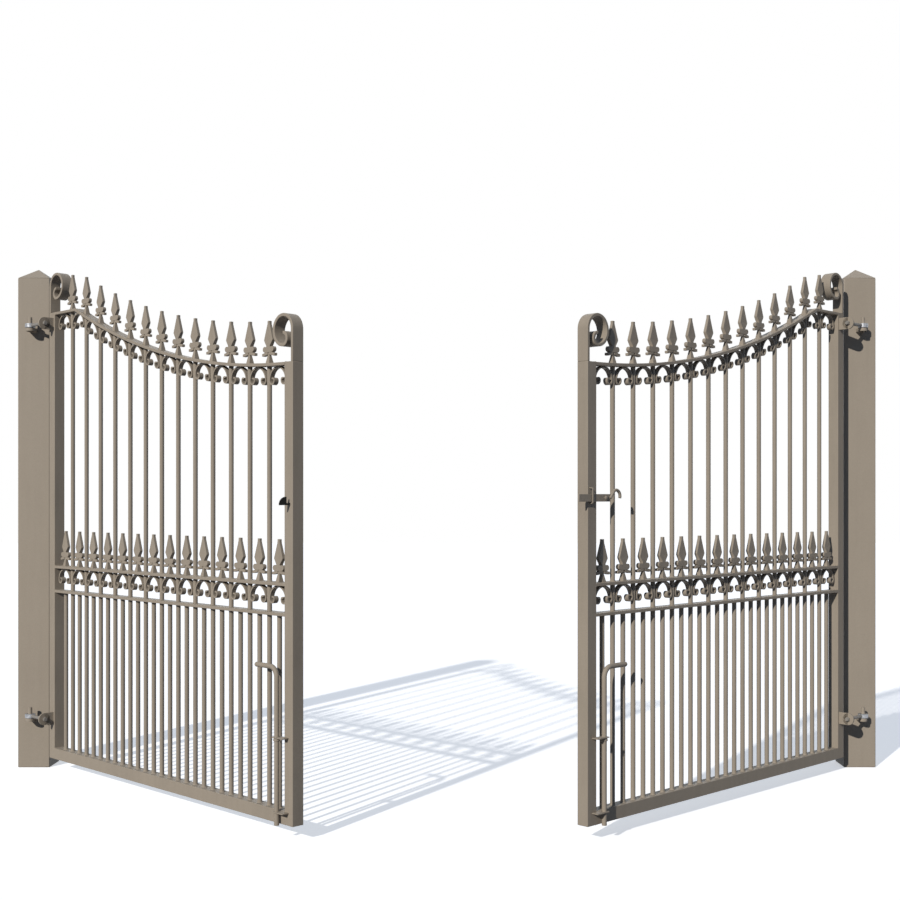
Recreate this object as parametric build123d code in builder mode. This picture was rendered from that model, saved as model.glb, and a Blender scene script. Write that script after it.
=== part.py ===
from build123d import *
from math import cos, radians, sin, sqrt
import os

# Double driveway gate: two mirrored leaves of round bars, spear heads and scrolled arches, hung on
# two square posts. Millimetres. The origin is the middle of the left post's base, X runs to the
# right post, Y runs away from the viewer and Z is up. The leaves stand open towards the viewer.

# Posts
POST_SIZE = 150.0
POST_HEIGHT = 2313.0
CAP_RISE = 50.0
CAP_TIP = 4.0

# Leaf frame
STILE_WIDTH = 50.0
LEAF_DEPTH = 50.0
BAR_PITCH = 125.0
LONG_BAR_COUNT = 13
BOTTOM_CLEARANCE = 64.0
BOTTOM_RAIL_HEIGHT = 50.0
FLAT_THICKNESS = 12.0
LOWER_RAIL_UNDERSIDE = 835.5
ARCH_BAND_HEIGHT = 100.5
TOP_RAIL_LOW = 1780.0
TOP_RAIL_FLAT = 2134.0
TOP_RAIL_LEVEL_LENGTH = 237.0

# Scrolls that end the outer walls of the stiles
SCROLL_THICKNESS = 12.0
SCROLL_RADIUS = 62.0
SCROLL_CURL_RADIUS = 29.0
SCROLL_RISE = 120.0

# Bars
BAR_DIAMETER = 19.0
BAR_SIDES = 8

# Spear heads, from their seat on a rail upwards
SPEAR_FOOT_WIDTH = 21.0
SPEAR_WAIST_WIDTH = 10.0
SPEAR_WAIST_HEIGHT = 36.0
SPEAR_NECK_WIDTH = 15.0
SPEAR_NECK_HEIGHT = 61.0
SPEAR_BLADE_WIDTH = 30.0
SPEAR_BLADE_HEIGHT = 92.0
SPEAR_TIP_WIDTH = 11.0
SPEAR_TIP_LENGTH = 12.0
SPEAR_HEIGHT = 162.0
SPEAR_COLLAR_DEPTH = 16.0
COLLAR_LOBE_REACH = 31.0
COLLAR_TIP_REACH = 39.0
COLLAR_TIP_HEIGHT = 27.0

# Arches between the bars
ARCH_THICKNESS = 6.0
ARCH_DEPTH = 20.0
VOLUTE_RADIUS = 17.0
VOLUTE_SWEEP = 195.0
HALF_ARCH_STEPS = 3
VOLUTE_STEPS = 3
ARCH_CLEARANCE = 0.1

# Hinges
OPEN_ANGLE = 45.0
MEETING_GAP = 10.0
HINGE_GAP = 22.0
PIN_STANDOFF = 50.0
PIN_TO_LEAF_FACE = 46.0
PIN_DIAMETER = 18.0
PIN_RISE = 28.0
PIN_BASE_WIDTH = 38.0
PIN_BASE_HEIGHT = 16.0
EYE_DIAMETER = 47.0
EYE_HEIGHT = 19.0
EYE_CLEARANCE = 0.05
EYE_SEAT_PLAY = 0.3
EYE_SHANK_DIAMETER = 16.0
EYE_SHANK_END = 66.0
LOWER_HINGE_HEIGHT = 253.0
UPPER_HINGE_DROP = 53.0
HINGE_PLATE_HEIGHT = 55.0
HINGE_PLATE_THICKNESS = 8.0
HINGE_PLATE_INSET = 34.0

# Drop bolts
BOLT_DIAMETER = 19.0
BOLT_INSET = 26.0
BOLT_STANDOFF = 16.0
BOLT_BOTTOM = 61.0
BOLT_HANDLE_HEIGHT = 648.0
BOLT_HANDLE_REACH = 132.0
BOLT_BEND_RADIUS = 38.0
BOLT_END_CHAMFER = 5.0
BOLT_CLEARANCE = 0.1
GUIDE_THICKNESS = 6.0
GUIDE_WALL = 7.0
GUIDE_OVERLAP = 26.0
LOWER_GUIDE_TOP = 113.0
UPPER_GUIDE_TOP = 390.0
COLLAR_DIAMETER = 27.0
COLLAR_HEIGHT = 9.0
COLLAR_PLAY = 1.0

# Latch on the right leaf and its catch on the left leaf
LATCH_HEIGHT = 1276.0
LEVER_HEIGHT = 28.0
LEVER_THICKNESS = 6.0
LEVER_STANDOFF = 6.0
LEVER_REACH = 63.0
LEVER_TAIL = 118.0
PIVOT_INSET = 91.0
PIVOT_DIAMETER = 10.0
PIVOT_CLEARANCE = 0.05
PIVOT_HEAD_DIAMETER = 17.0
PIVOT_HEAD_THICKNESS = 3.0
PIVOT_HEAD_PLAY = 0.5
LATCH_PLATE_THICKNESS = 5.0
HANDLE_DIAMETER = 11.0
HANDLE_OVERLAP = 4.5
HANDLE_LEAN = 40.0
HANDLE_STRAIGHT = 33.0
HANDLE_BEND_RADIUS = 23.5
HANDLE_BEND_ANGLE = 150.0
STAPLE_THICKNESS = 3.5
STAPLE_WIDTH = 14.0
STAPLE_INSET = 20.0
STAPLE_LEVER_GAP = 5.0
STAPLE_ROOM_ABOVE = 21.0
STAPLE_ROOM_BELOW = 4.0
CATCH_THICKNESS = 5.0
CATCH_INSET = 17.0
CATCH_NOTCH = 17.0
CATCH_RAMP = 32.0
CATCH_LIP_RISE = 18.0
CATCH_GAP = 5.0
CATCH_NECK = 8.0
CATCH_RAMP_RADIUS = 30.0

# Derived places on a leaf: u runs from its hinge edge, w from its front face, both in mm
LEAF_WIDTH = 2 * STILE_WIDTH + (LONG_BAR_COUNT + 1) * BAR_PITCH
SWEEP_RUN = LEAF_WIDTH - TOP_RAIL_LEVEL_LENGTH
SWEEP_RISE = TOP_RAIL_FLAT - TOP_RAIL_LOW
TOP_RAIL_RADIUS = (SWEEP_RUN**2 + SWEEP_RISE**2) / (2 * SWEEP_RISE)
INNER_END = LEAF_WIDTH - STILE_WIDTH
MID_DEPTH = LEAF_DEPTH / 2
BAR_RADIUS = BAR_DIAMETER / 2
BOTTOM_RAIL_TOP = BOTTOM_CLEARANCE + BOTTOM_RAIL_HEIGHT
LOWER_RAIL_TOP = LOWER_RAIL_UNDERSIDE + FLAT_THICKNESS
UPPER_RAIL_UNDERSIDE = LOWER_RAIL_TOP + ARCH_BAND_HEIGHT
UPPER_RAIL_TOP = UPPER_RAIL_UNDERSIDE + FLAT_THICKNESS
POST_SPACING = 2 * (LEAF_WIDTH + HINGE_GAP) + MEETING_GAP + POST_SIZE
PIN_TO_LEAF_EDGE = POST_SIZE / 2 + HINGE_GAP
PIN_Y = -POST_SIZE / 2 - PIN_STANDOFF
UPPER_HINGE_HEIGHT = TOP_RAIL_FLAT - UPPER_HINGE_DROP
HINGE_HEIGHTS = [LOWER_HINGE_HEIGHT, UPPER_HINGE_HEIGHT]
BOLT_U = INNER_END - BOLT_INSET
BOLT_RADIUS = BOLT_DIAMETER / 2
PIVOT_U = LEAF_WIDTH - PIVOT_INSET
LEVER_BOTTOM = LATCH_HEIGHT - LEVER_HEIGHT / 2
LEVER_TOP = LATCH_HEIGHT + LEVER_HEIGHT / 2
LEVER_FRONT = -LEVER_STANDOFF - LEVER_THICKNESS
LEVER_TIP_U = LEAF_WIDTH + LEVER_REACH
LEVER_TAIL_U = LEAF_WIDTH - LEVER_TAIL

# A leaf is drawn closed, then turned open about its hinge pin; the other leaf is its mirror image
LEFT_LEAF = (
    Location((0, PIN_Y, 0))
    * Rotation(0, 0, -OPEN_ANGLE)
    * Location((PIN_TO_LEAF_EDGE, PIN_TO_LEAF_FACE, 0))
)
GATE_MIDDLE = Plane.YZ.offset(POST_SPACING / 2)

os.makedirs("parts", exist_ok=True)


def save(shape, name):
    """Labels a finished piece and writes it as one file."""
    shape.label = name
    export_step(shape, "parts/" + name + ".step")


def save_on_left_leaf(shape, name):
    """Writes a piece that only the left leaf has."""
    save(LEFT_LEAF * shape, name)


def save_on_right_leaf(shape, name):
    """Writes a piece that only the right leaf has."""
    save(mirror(LEFT_LEAF * shape, about=GATE_MIDDLE), name)


def save_on_both_leaves(shape, name):
    """Writes a piece that the two leaves have alike."""
    save_on_left_leaf(shape, "left_" + name)
    save_on_right_leaf(shape, "right_" + name)


def bar_u(place):
    """Distance of a bar from the hinge edge; whole places are long bars, half places mid-bays."""
    return STILE_WIDTH + place * BAR_PITCH


def rail_z(u, drop=0.0):
    """Height of the top rail: level at the hinge side, then a hollow sweep down to the middle."""
    centre = TOP_RAIL_LOW + TOP_RAIL_RADIUS
    sweep = centre - sqrt((TOP_RAIL_RADIUS + drop) ** 2 - (LEAF_WIDTH - u) ** 2)
    return min(TOP_RAIL_FLAT - drop, sweep)


def kink_u(drop=0.0):
    """Where the level part of the top rail meets the sweep."""
    centre = TOP_RAIL_LOW + TOP_RAIL_RADIUS
    level = TOP_RAIL_FLAT - drop
    return LEAF_WIDTH - sqrt((TOP_RAIL_RADIUS + drop) ** 2 - (centre - level) ** 2)


def rail_curve(start, end, drop=0.0):
    """Draws the top rail's line from the hinge side to the middle, inside a BuildLine."""
    kink = kink_u(drop)
    middle = (kink + end) / 2
    Line((start, TOP_RAIL_FLAT - drop), (kink, TOP_RAIL_FLAT - drop))
    ThreePointArc((kink, TOP_RAIL_FLAT - drop), (middle, rail_z(middle, drop)), (end, rail_z(end, drop)))


# Posts, with low pyramid caps
with BuildPart() as post:
    with BuildSketch():
        Rectangle(POST_SIZE, POST_SIZE)
    extrude(amount=POST_HEIGHT)
with BuildPart() as cap:
    with BuildSketch(Plane.XY.offset(POST_HEIGHT)):
        Rectangle(POST_SIZE, POST_SIZE)
    with BuildSketch(Plane.XY.offset(POST_HEIGHT + CAP_RISE)):
        Rectangle(CAP_TIP, CAP_TIP)
    loft(ruled=True)

# Hinge pins: a block welded to the front of each post, with the pin standing on it
with BuildPart() as hinge_pins:
    for height in HINGE_HEIGHTS:
        base_top = height - EYE_HEIGHT / 2 - EYE_SEAT_PLAY
        with BuildSketch(Plane.XY.offset(base_top - PIN_BASE_HEIGHT)):
            with Locations((0, PIN_Y)):
                Circle(PIN_BASE_WIDTH / 2)
            with Locations((0, PIN_Y + PIN_STANDOFF / 2)):
                Rectangle(PIN_BASE_WIDTH, PIN_STANDOFF)
        extrude(amount=PIN_BASE_HEIGHT)
        with BuildSketch(Plane.XY.offset(base_top)):
            with Locations((0, PIN_Y)):
                Circle(PIN_DIAMETER / 2)
        extrude(amount=EYE_SEAT_PLAY + EYE_HEIGHT + PIN_RISE)

for side, piece, name in [
    ("left_", post, "post"),
    ("left_", cap, "post_cap"),
    ("left_", hinge_pins, "hinge_pins"),
]:
    save(piece.part, side + name)
    save(mirror(piece.part, about=GATE_MIDDLE), "right_" + name)


def stile(top):
    """A box stile, drawn with its outer edge on X = 0, whose outer wall runs on up and curls over."""
    centre = (SCROLL_RADIUS, top + SCROLL_RISE)
    curl = (SCROLL_RADIUS, top + SCROLL_RISE - SCROLL_RADIUS + SCROLL_CURL_RADIUS)
    inner = SCROLL_RADIUS - SCROLL_THICKNESS
    curl_inner = SCROLL_CURL_RADIUS - SCROLL_THICKNESS
    with BuildPart() as piece:
        with BuildSketch(Plane.XZ):
            with BuildLine():
                Polyline((SCROLL_THICKNESS, top), (STILE_WIDTH, top), (STILE_WIDTH, BOTTOM_CLEARANCE))
                Polyline((STILE_WIDTH, BOTTOM_CLEARANCE), (0, BOTTOM_CLEARANCE), (0, centre[1]))
                CenterArc(centre, SCROLL_RADIUS, 180, -270)
                CenterArc(curl, SCROLL_CURL_RADIUS, 270, -180)
                Line((curl[0], curl[1] + SCROLL_CURL_RADIUS), (curl[0], curl[1] + curl_inner))
                CenterArc(curl, curl_inner, 90, 180)
                CenterArc(centre, inner, 270, 270)
                Line((SCROLL_THICKNESS, centre[1]), (SCROLL_THICKNESS, top))
            make_face()
        extrude(amount=-LEAF_DEPTH)
    return piece.part


def rail(underside, height):
    """A straight rail between the stiles."""
    with BuildPart() as piece:
        with BuildSketch(Plane.XZ):
            with Locations((LEAF_WIDTH / 2, underside + height / 2)):
                Rectangle(INNER_END - STILE_WIDTH, height)
        extrude(amount=-LEAF_DEPTH)
    return piece.part


with BuildPart() as top_rail:
    with BuildSketch(Plane.XZ):
        with BuildLine():
            rail_curve(STILE_WIDTH, INNER_END)
            Line((INNER_END, rail_z(INNER_END)), (INNER_END, rail_z(INNER_END, FLAT_THICKNESS)))
            rail_curve(STILE_WIDTH, INNER_END, FLAT_THICKNESS)
            Line((STILE_WIDTH, TOP_RAIL_FLAT), (STILE_WIDTH, TOP_RAIL_FLAT - FLAT_THICKNESS))
        make_face()
    extrude(amount=-LEAF_DEPTH)

meeting_stile = mirror(stile(rail_z(INNER_END)), about=Plane.YZ).moved(Location((LEAF_WIDTH, 0, 0)))
save_on_both_leaves(stile(TOP_RAIL_FLAT), "hanging_stile")
save_on_both_leaves(meeting_stile, "meeting_stile")
save_on_both_leaves(top_rail.part, "top_rail")
save_on_both_leaves(rail(UPPER_RAIL_UNDERSIDE, FLAT_THICKNESS), "upper_mid_rail")
save_on_both_leaves(rail(LOWER_RAIL_UNDERSIDE, FLAT_THICKNESS), "lower_mid_rail")
save_on_both_leaves(rail(BOTTOM_CLEARANCE, BOTTOM_RAIL_HEIGHT), "bottom_rail")


def bars(places, bottom, top):
    """Upright bars between two heights."""
    with BuildPart() as piece:
        with BuildSketch(Plane.XY.offset(bottom)):
            with Locations([(bar_u(place), MID_DEPTH) for place in places]):
                RegularPolygon(BAR_RADIUS, BAR_SIDES)
        extrude(amount=top - bottom)
    return piece.part


LONG_PLACES = range(1, LONG_BAR_COUNT + 1)
BAY_PLACES = [place + 0.5 for place in range(LONG_BAR_COUNT + 1)]

# Bars: the long ones stand between all four rails, the short ones between the two lower rails
bars_below_top_rail = bars(LONG_PLACES, UPPER_RAIL_TOP, TOP_RAIL_FLAT)
bars_between_mid_rails = bars(LONG_PLACES, LOWER_RAIL_TOP, UPPER_RAIL_UNDERSIDE)
bars_above_bottom_rail = bars(LONG_PLACES, BOTTOM_RAIL_TOP, LOWER_RAIL_UNDERSIDE)
with BuildPart() as long_bars:
    add(bars_below_top_rail)
    with BuildSketch(Plane.XZ):
        with BuildLine():
            rail_curve(STILE_WIDTH, INNER_END, FLAT_THICKNESS)
            Polyline(
                (INNER_END, rail_z(INNER_END, FLAT_THICKNESS)),
                (INNER_END, UPPER_RAIL_TOP),
                (STILE_WIDTH, UPPER_RAIL_TOP),
                (STILE_WIDTH, TOP_RAIL_FLAT - FLAT_THICKNESS),
            )
        make_face()
    extrude(amount=-LEAF_DEPTH, mode=Mode.INTERSECT)
    add(bars_between_mid_rails)
    add(bars_above_bottom_rail)
dog_bars = bars(BAY_PLACES, BOTTOM_RAIL_TOP, LOWER_RAIL_UNDERSIDE)
save_on_both_leaves(long_bars.part, "long_bars")
save_on_both_leaves(dog_bars, "dog_bars")


def spear(root=0.0):
    """A spear head seated at the origin, whose foot can run down by root to be cut to a slope."""
    with BuildPart() as piece:
        with BuildSketch():
            Rectangle(SPEAR_FOOT_WIDTH, SPEAR_FOOT_WIDTH)
        with BuildSketch(Plane.XY.offset(SPEAR_WAIST_HEIGHT)):
            Rectangle(SPEAR_WAIST_WIDTH, SPEAR_WAIST_WIDTH)
        loft(ruled=True)
        if root > 0:
            with BuildSketch():
                Rectangle(SPEAR_FOOT_WIDTH, SPEAR_FOOT_WIDTH)
            extrude(amount=-root)
        with BuildSketch(Plane.XZ.offset(-SPEAR_COLLAR_DEPTH / 2)):
            with BuildLine():
                Polyline(
                    (0, SPEAR_NECK_HEIGHT),
                    (COLLAR_LOBE_REACH - 9, SPEAR_NECK_HEIGHT),
                    (COLLAR_LOBE_REACH, SPEAR_NECK_HEIGHT - 9),
                    (COLLAR_LOBE_REACH - 9, SPEAR_NECK_HEIGHT - 20),
                    (COLLAR_TIP_REACH, COLLAR_TIP_HEIGHT + 3),
                    (COLLAR_TIP_REACH - 8, COLLAR_TIP_HEIGHT),
                    (0, SPEAR_WAIST_HEIGHT - 2),
                )
                mirror(about=Plane.YZ)
            make_face()
        extrude(amount=SPEAR_COLLAR_DEPTH)
        with BuildSketch(Plane.XY.offset(SPEAR_NECK_HEIGHT)):
            Rectangle(SPEAR_NECK_WIDTH, SPEAR_NECK_WIDTH)
        with BuildSketch(Plane.XY.offset(SPEAR_BLADE_HEIGHT)):
            Rectangle(SPEAR_BLADE_WIDTH, SPEAR_BLADE_WIDTH)
        for height in [SPEAR_HEIGHT - SPEAR_TIP_LENGTH, SPEAR_HEIGHT]:
            with BuildSketch(Plane.XY.offset(height)):
                Rectangle(SPEAR_TIP_WIDTH, SPEAR_TIP_WIDTH)
        loft(ruled=True)
    return piece.part


# Spear heads: a row on the swept top rail, each foot cut to the slope, and a row in the middle
level_spear = spear()
sloping_spears = []
for place in LONG_PLACES:
    uphill = rail_z(bar_u(place) - SPEAR_FOOT_WIDTH / 2)
    downhill = rail_z(bar_u(place) + SPEAR_FOOT_WIDTH / 2)
    foot = spear(uphill - downhill + 1)
    sloping_spears.append(foot.moved(Location((bar_u(place), MID_DEPTH, uphill))))
with BuildPart() as top_spears:
    add(sloping_spears)
    with BuildSketch(Plane.XZ):
        with BuildLine():
            rail_curve(STILE_WIDTH, INNER_END)
            Polyline(
                (INNER_END, rail_z(INNER_END)),
                (INNER_END, BOTTOM_CLEARANCE),
                (STILE_WIDTH, BOTTOM_CLEARANCE),
                (STILE_WIDTH, TOP_RAIL_FLAT),
            )
        make_face()
    extrude(amount=-LEAF_DEPTH, mode=Mode.SUBTRACT)
with BuildPart() as mid_spears:
    with Locations([(bar_u(place), MID_DEPTH, UPPER_RAIL_TOP) for place in BAY_PLACES]):
        add(level_spear)
save_on_both_leaves(top_spears.part, "top_spears")
save_on_both_leaves(mid_spears.part, "mid_spears")

# Arches, each of one strip that hangs by its crown between two bars and curls in at both feet
ARCH_RADIUS = (BAR_PITCH - BAR_DIAMETER) / 2 - ARCH_CLEARANCE


def arc_points(centre, radius, start, end, steps):
    """Corners spaced evenly along an arc, with its angles in degrees."""
    turns = [radians(start + (end - start) * step / steps) for step in range(steps + 1)]
    return [(centre[0] + radius * cos(turn), centre[1] + radius * sin(turn)) for turn in turns]


def arch_corners(slope):
    """The outline of an arch with its crown at the origin, sheared down along the rail's slope."""
    centre = (0, -ARCH_RADIUS)
    foot = (ARCH_RADIUS - VOLUTE_RADIUS, -ARCH_RADIUS)
    right = arc_points(centre, ARCH_RADIUS, 90, 0, HALF_ARCH_STEPS)
    right += arc_points(foot, VOLUTE_RADIUS, 0, -VOLUTE_SWEEP, VOLUTE_STEPS)[1:]
    right += arc_points(foot, VOLUTE_RADIUS - ARCH_THICKNESS, -VOLUTE_SWEEP, 0, VOLUTE_STEPS)
    right += arc_points(centre, ARCH_RADIUS - ARCH_THICKNESS, 0, 90, HALF_ARCH_STEPS)[1:]
    left = [(-x, z) for x, z in reversed(right[1:-1])]
    return [(x, z - slope * x) for x, z in right + left]


def arches(crowns):
    """Arches at the given crowns, each with its place, its height and its slope."""
    with BuildPart() as piece:
        with BuildSketch(Plane.XZ.offset(ARCH_DEPTH / 2 - MID_DEPTH)):
            for u, height, slope in crowns:
                with Locations((u, height)):
                    Polygon(*arch_corners(slope), align=None)
        extrude(amount=-ARCH_DEPTH)
    return piece.part


def crown_under_top_rail(place):
    """The highest seat of an arch under the top rail, and the slope it takes there."""
    u = bar_u(place)
    level = u - ARCH_RADIUS < kink_u(FLAT_THICKNESS)
    slope = 0.0 if level else rail_z(u - 0.5, FLAT_THICKNESS) - rail_z(u + 0.5, FLAT_THICKNESS)
    seats = []
    for x, z in arch_corners(slope):
        seats.append(rail_z(u + x, FLAT_THICKNESS) - z)
    return u, min(seats), slope


top_arches = arches([crown_under_top_rail(place) for place in BAY_PLACES])
mid_arches = arches([(bar_u(place), UPPER_RAIL_UNDERSIDE, 0) for place in BAY_PLACES])
save_on_both_leaves(top_arches, "top_arches")
save_on_both_leaves(mid_arches, "mid_arches")

# Hinges: an eye on each pin, whose shank passes through a plate that stands on the hanging stile
with BuildPart() as hinge_eyes:
    for height in HINGE_HEIGHTS:
        with BuildSketch(Plane.YZ.offset(-PIN_TO_LEAF_EDGE)):
            with Locations((-PIN_TO_LEAF_FACE, height)):
                Circle(EYE_SHANK_DIAMETER / 2)
        extrude(amount=PIN_TO_LEAF_EDGE + EYE_SHANK_END)
        with BuildSketch(Plane.XY.offset(height - EYE_HEIGHT / 2)):
            with Locations((-PIN_TO_LEAF_EDGE, -PIN_TO_LEAF_FACE)):
                Circle(EYE_DIAMETER / 2)
        extrude(amount=EYE_HEIGHT)
        with BuildSketch(Plane.XY.offset(height - EYE_HEIGHT / 2)):
            with Locations((-PIN_TO_LEAF_EDGE, -PIN_TO_LEAF_FACE)):
                Circle(PIN_DIAMETER / 2 + EYE_CLEARANCE)
        extrude(amount=EYE_HEIGHT, mode=Mode.SUBTRACT)
with BuildPart() as hinge_plates:
    with BuildSketch(Plane.YZ.offset(HINGE_PLATE_INSET)):
        for height in HINGE_HEIGHTS:
            with Locations((-PIN_TO_LEAF_FACE / 2, height)):
                Rectangle(PIN_TO_LEAF_FACE, HINGE_PLATE_HEIGHT)
            with Locations((-PIN_TO_LEAF_FACE, height)):
                Circle(HINGE_PLATE_HEIGHT / 2)
                Circle(EYE_SHANK_DIAMETER / 2 + EYE_CLEARANCE, mode=Mode.SUBTRACT)
    extrude(amount=HINGE_PLATE_THICKNESS)
save_on_both_leaves(hinge_eyes.part, "hinge_eyes")
save_on_both_leaves(hinge_plates.part, "hinge_plates")

# Drop bolts: a bent rod with a stop collar, sliding in two guides on the front of the leaf
UPPER_GUIDE_UNDERSIDE = UPPER_GUIDE_TOP - GUIDE_THICKNESS
with BuildPart() as drop_bolt:
    bend_centre = (BOLT_U - BOLT_BEND_RADIUS, -BOLT_STANDOFF, BOLT_HANDLE_HEIGHT - BOLT_BEND_RADIUS)
    with BuildSketch(Plane.XY.offset(BOLT_BOTTOM)):
        with Locations((BOLT_U, -BOLT_STANDOFF)):
            Circle(BOLT_RADIUS)
    extrude(amount=bend_centre[2] - BOLT_BOTTOM)
    with BuildSketch(Plane.XY.offset(bend_centre[2])):
        with Locations((BOLT_U, -BOLT_STANDOFF)):
            RegularPolygon(BOLT_RADIUS, BAR_SIDES)
    revolve(axis=Axis(bend_centre, (0, -1, 0)), revolution_arc=90)
    with BuildSketch(Plane.YZ.offset(bend_centre[0])):
        with Locations((-BOLT_STANDOFF, BOLT_HANDLE_HEIGHT)):
            RegularPolygon(BOLT_RADIUS, BAR_SIDES)
    extrude(amount=BOLT_BEND_RADIUS - BOLT_HANDLE_REACH)
    chamfer(drop_bolt.faces().sort_by(Axis.X)[0].edges(), BOLT_END_CHAMFER)
    with BuildSketch(Plane.XY.offset(UPPER_GUIDE_UNDERSIDE - COLLAR_PLAY - COLLAR_HEIGHT)):
        with Locations((BOLT_U, -BOLT_STANDOFF)):
            Circle(COLLAR_DIAMETER / 2)
    extrude(amount=COLLAR_HEIGHT)
with BuildPart() as bolt_guides:
    for underside in [LOWER_GUIDE_TOP - GUIDE_THICKNESS, UPPER_GUIDE_UNDERSIDE]:
        with BuildSketch(Plane.XY.offset(underside)):
            near = BOLT_U - BOLT_RADIUS - BOLT_CLEARANCE - GUIDE_WALL
            reach = BOLT_STANDOFF + BOLT_RADIUS + BOLT_CLEARANCE + GUIDE_WALL
            with Locations((near, 0)):
                Rectangle(INNER_END + GUIDE_OVERLAP - near, reach, align=(Align.MIN, Align.MAX))
            with Locations((BOLT_U, -BOLT_STANDOFF)):
                Circle(BOLT_RADIUS + BOLT_CLEARANCE, mode=Mode.SUBTRACT)
        extrude(amount=GUIDE_THICKNESS)
save_on_both_leaves(drop_bolt.part, "drop_bolt")
save_on_both_leaves(bolt_guides.part, "bolt_guides")

# Latch on the right leaf: a lever that turns on the rivet of its back plate
with BuildPart() as latch_lever:
    with BuildSketch(Plane.XZ.offset(-LEVER_FRONT - LEVER_THICKNESS)):
        with Locations((LEVER_TAIL_U, LEVER_BOTTOM)):
            Rectangle(LEVER_TIP_U - LEVER_TAIL_U, LEVER_HEIGHT, align=Align.MIN)
        with Locations((PIVOT_U, LATCH_HEIGHT)):
            Circle(PIVOT_DIAMETER / 2 + PIVOT_CLEARANCE, mode=Mode.SUBTRACT)
    extrude(amount=LEVER_THICKNESS)
    handle_y = -LEVER_STANDOFF - HANDLE_DIAMETER / 2
    lean = (-sin(radians(HANDLE_LEAN)), 0, cos(radians(HANDLE_LEAN)))
    root = Vector(LEVER_TAIL_U + HANDLE_OVERLAP, handle_y, LATCH_HEIGHT)
    bend_start = root + Vector(*lean) * HANDLE_STRAIGHT
    bend_centre = bend_start + Vector(-lean[2], 0, lean[0]) * HANDLE_BEND_RADIUS
    with BuildSketch(Plane(root, z_dir=lean)):
        RegularPolygon(HANDLE_DIAMETER / 2, BAR_SIDES)
    extrude(amount=HANDLE_STRAIGHT)
    with BuildSketch(Plane(bend_start, z_dir=lean)):
        RegularPolygon(HANDLE_DIAMETER / 2, BAR_SIDES)
    revolve(axis=Axis(bend_centre, (0, -1, 0)), revolution_arc=HANDLE_BEND_ANGLE)
with BuildPart() as latch_plate:
    with BuildSketch(Plane.XZ):
        with Locations((LEVER_TAIL_U + 2, LEVER_BOTTOM)):
            Rectangle(INNER_END + STILE_WIDTH / 2 - LEVER_TAIL_U - 2, LEVER_HEIGHT, align=Align.MIN)
    extrude(amount=LATCH_PLATE_THICKNESS)
    with BuildSketch(Plane.XZ.offset(LATCH_PLATE_THICKNESS)):
        with Locations((PIVOT_U, LATCH_HEIGHT)):
            Circle(PIVOT_DIAMETER / 2)
    extrude(amount=-LEVER_FRONT + PIVOT_HEAD_PLAY - LATCH_PLATE_THICKNESS)
    with BuildSketch(Plane.XZ.offset(-LEVER_FRONT + PIVOT_HEAD_PLAY)):
        with Locations((PIVOT_U, LATCH_HEIGHT)):
            Circle(PIVOT_HEAD_DIAMETER / 2)
    extrude(amount=PIVOT_HEAD_THICKNESS)
with BuildPart() as latch_staple:
    depth = -LEVER_FRONT + STAPLE_LEVER_GAP
    opening = STAPLE_ROOM_BELOW + LEVER_HEIGHT + STAPLE_ROOM_ABOVE
    with BuildSketch(Plane.YZ.offset(LEAF_WIDTH - STAPLE_INSET - STAPLE_WIDTH / 2)):
        with Locations((0, LEVER_BOTTOM - STAPLE_ROOM_BELOW - STAPLE_THICKNESS)):
            Rectangle(depth + STAPLE_THICKNESS, opening + 2 * STAPLE_THICKNESS, align=(Align.MAX, Align.MIN))
        with Locations((0, LEVER_BOTTOM - STAPLE_ROOM_BELOW)):
            Rectangle(depth, opening, align=(Align.MAX, Align.MIN), mode=Mode.SUBTRACT)
    extrude(amount=STAPLE_WIDTH)
save_on_right_leaf(latch_lever.part, "latch_lever")
save_on_right_leaf(latch_plate.part, "latch_plate")
save_on_right_leaf(latch_staple.part, "latch_staple")

# Catch on the left leaf: a neck with a round ramp that lifts the lever, which then drops behind it
with BuildPart() as latch_catch:
    with BuildSketch(Plane.YZ.offset(LEAF_WIDTH - CATCH_INSET - CATCH_THICKNESS / 2)):
        with BuildLine():
            neck_top = LEVER_BOTTOM - CATCH_GAP
            lip_top = LEVER_BOTTOM + CATCH_LIP_RISE
            Polyline((0, neck_top), (-CATCH_NOTCH, neck_top), (-CATCH_NOTCH, lip_top))
            RadiusArc(
                (-CATCH_NOTCH, lip_top),
                (-CATCH_NOTCH - CATCH_RAMP, neck_top - CATCH_NECK),
                -CATCH_RAMP_RADIUS,
            )
            Polyline(
                (-CATCH_NOTCH - CATCH_RAMP, neck_top - CATCH_NECK),
                (0, neck_top - CATCH_NECK),
                (0, neck_top),
            )
        make_face()
    extrude(amount=CATCH_THICKNESS)
save_on_left_leaf(latch_catch.part, "latch_catch")
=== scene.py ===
# %% [markdown]
# # A double driveway gate
# The gate is two steel leaves on two square posts. The exact solids come first, as a fixed frame
# that also knows how the leaves, bolts and latch move. Every visible piece is then made smooth
# and given its finish, and rides on the part of the frame that carries it.

# %% Load the frame
from math import asin, atan2, cos, degrees, radians, sin, sqrt

import bmesh
import bpy
from mathutils import Matrix, Vector


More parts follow.
